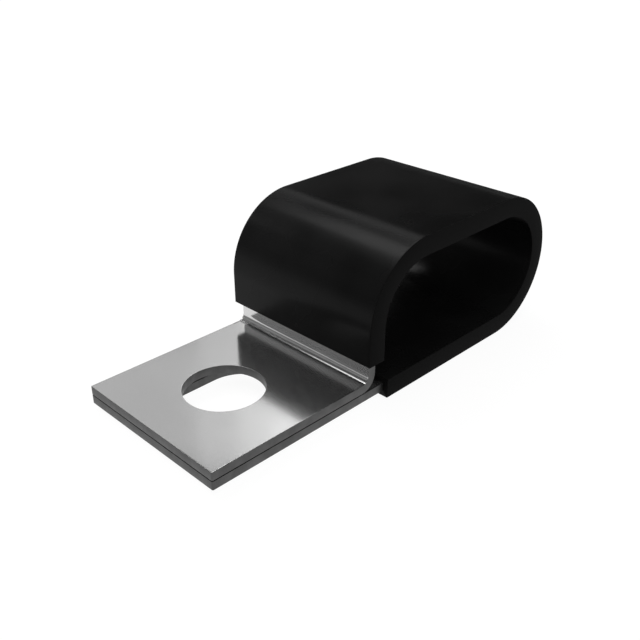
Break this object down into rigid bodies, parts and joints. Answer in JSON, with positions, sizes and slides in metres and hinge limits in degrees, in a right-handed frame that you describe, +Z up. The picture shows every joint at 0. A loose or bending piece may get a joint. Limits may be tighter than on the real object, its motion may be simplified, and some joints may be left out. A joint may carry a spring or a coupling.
{
  "type": "multi-pipe clip",
  "caption": "Pipe clip of folded sheet steel for pipes side by side, with a black rubber sleeve round the loop and a flat bolt tab whose round hole lies over a slot.",
  "frame": {"origin": "centre of the fixing slot, on the underside of the tab's lower leaf", "axes": "+Z up through the bolt hole, +Y from the tab to the pipes, X along the pipes"},
  "size_m": [0.0212, 0.0516, 0.0171],
  "materials": {
    "strip_steel": "smooth rolled sheet steel, satin, with sheared edges",
    "sleeve_rubber": "smooth black rubber, satin"
  },
  "bodies": {
    "root": {"band": "strip_steel", "sleeve": "sleeve_rubber"}
  },
  "joints": []
}
